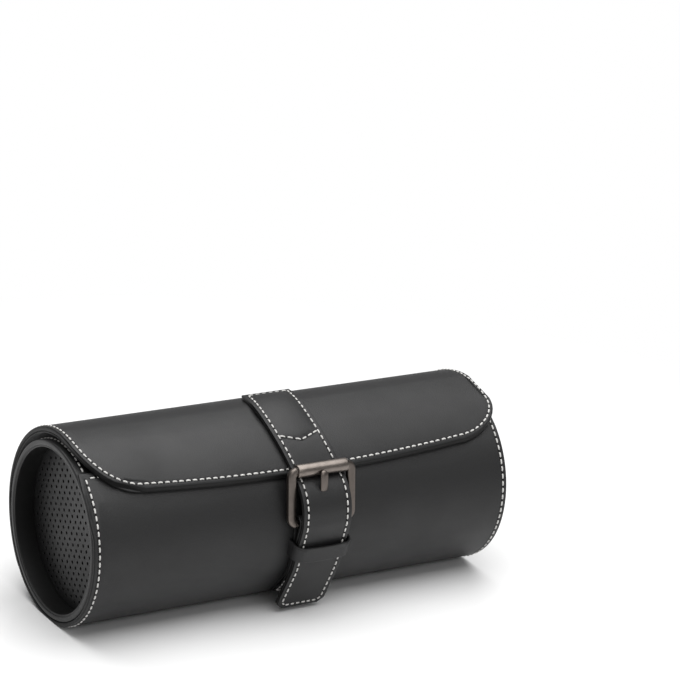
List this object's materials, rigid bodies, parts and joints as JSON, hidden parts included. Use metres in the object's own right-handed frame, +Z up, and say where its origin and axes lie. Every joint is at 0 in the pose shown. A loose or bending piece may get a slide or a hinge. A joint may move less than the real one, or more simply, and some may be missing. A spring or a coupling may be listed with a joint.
{
  "type": "watch travel case",
  "caption": "Round leather-covered tube with a suede-lined inside, soft rolls between dividers, a hinged wrap-over lid and a strap threaded through a roller buckle.",
  "frame": {"origin": "centre of the flat underside of the case", "axes": "+X along the case to its right end, seen from the front; -Y to the front, where the buckle is; +Z up"},
  "size_m": [0.2165, 0.0984, 0.0911],
  "materials": {
    "grain_leather": "fine smooth grain, satin",
    "smooth_leather": "smooth, satin",
    "perforated_leather": "smooth, with rows of small holes",
    "suede": "short matt nap",
    "board": "dense pressed board",
    "dark_metal": "dark plated, satin, lightly worn"
  },
  "bodies": {
    "case": {"tube_board": "board", "tube_leather": "grain_leather", "wrap_leather": "grain_leather", "wrap_board": "board", "body_lining": "suede", "rim_liner_left": "grain_leather", "rim_liner_right": "grain_leather", "end_cap_left": "perforated_leather", "end_cap_right": "perforated_leather", "end_board_left": "board", "end_board_right": "board", "end_lining_left": "suede", "end_lining_right": "suede", "flap_leather": "grain_leather", "flap_board": "board", "chape": "smooth_leather", "keeper_loop": "grain_leather", "divider_1": "suede", "divider_2": "suede", "divider_edging_1": "smooth_leather", "divider_edging_2": "smooth_leather"},
    "lid": {"lid_leather": "grain_leather", "lid_board": "board", "lid_inner_band": "smooth_leather", "lid_lining": "suede", "strap_face": "grain_leather", "strap_lining": "smooth_leather"},
    "buckle": {"buckle_frame": "dark_metal"},
    "roller": {"buckle_roller": "dark_metal"},
    "prong": {"buckle_prong": "dark_metal"},
    "cushion_1": {"cushion_roll_1": "suede", "cushion_bolster_1": "smooth_leather"},
    "cushion_2": {"cushion_roll_2": "suede", "cushion_bolster_2": "smooth_leather"},
    "cushion_3": {"cushion_roll_3": "suede", "cushion_bolster_3": "smooth_leather"}
  },
  "joints": [
    {"name": "lid_hinge", "type": "hinge", "parent": "case", "child": "lid", "pos_m": [0, 0.04615, 0.03653], "axis": [-1, 0, 0], "range_deg": [0, 110], "deforming": ["strap_face", "strap_lining"]},
    {"name": "buckle_hinge", "type": "hinge", "parent": "case", "child": "buckle", "pos_m": [0.004, -0.0459, 0.04824], "axis": [1, 0, 0], "range_deg": [0, 65]},
    {"name": "prong_hinge", "type": "hinge", "parent": "buckle", "child": "prong", "pos_m": [0.004, -0.0459, 0.04824], "axis": [1, 0, 0], "range_deg": [0, 40]},
    {"name": "roller_spin", "type": "hinge", "parent": "buckle", "child": "roller", "pos_m": [0.004, -0.04318, 0.07188], "axis": [1, 0, 0], "continuous": true},
    {"name": "cushion_1_lift", "type": "slide", "parent": "case", "child": "cushion_1", "axis": [0, 0, 1], "range_m": [0, 0.004]},
    {"name": "cushion_2_lift", "type": "slide", "parent": "case", "child": "cushion_2", "axis": [0, 0, 1], "range_m": [0, 0.004]},
    {"name": "cushion_3_lift", "type": "slide", "parent": "case", "child": "cushion_3", "axis": [0, 0, 1], "range_m": [0, 0.004]}
  ]
}
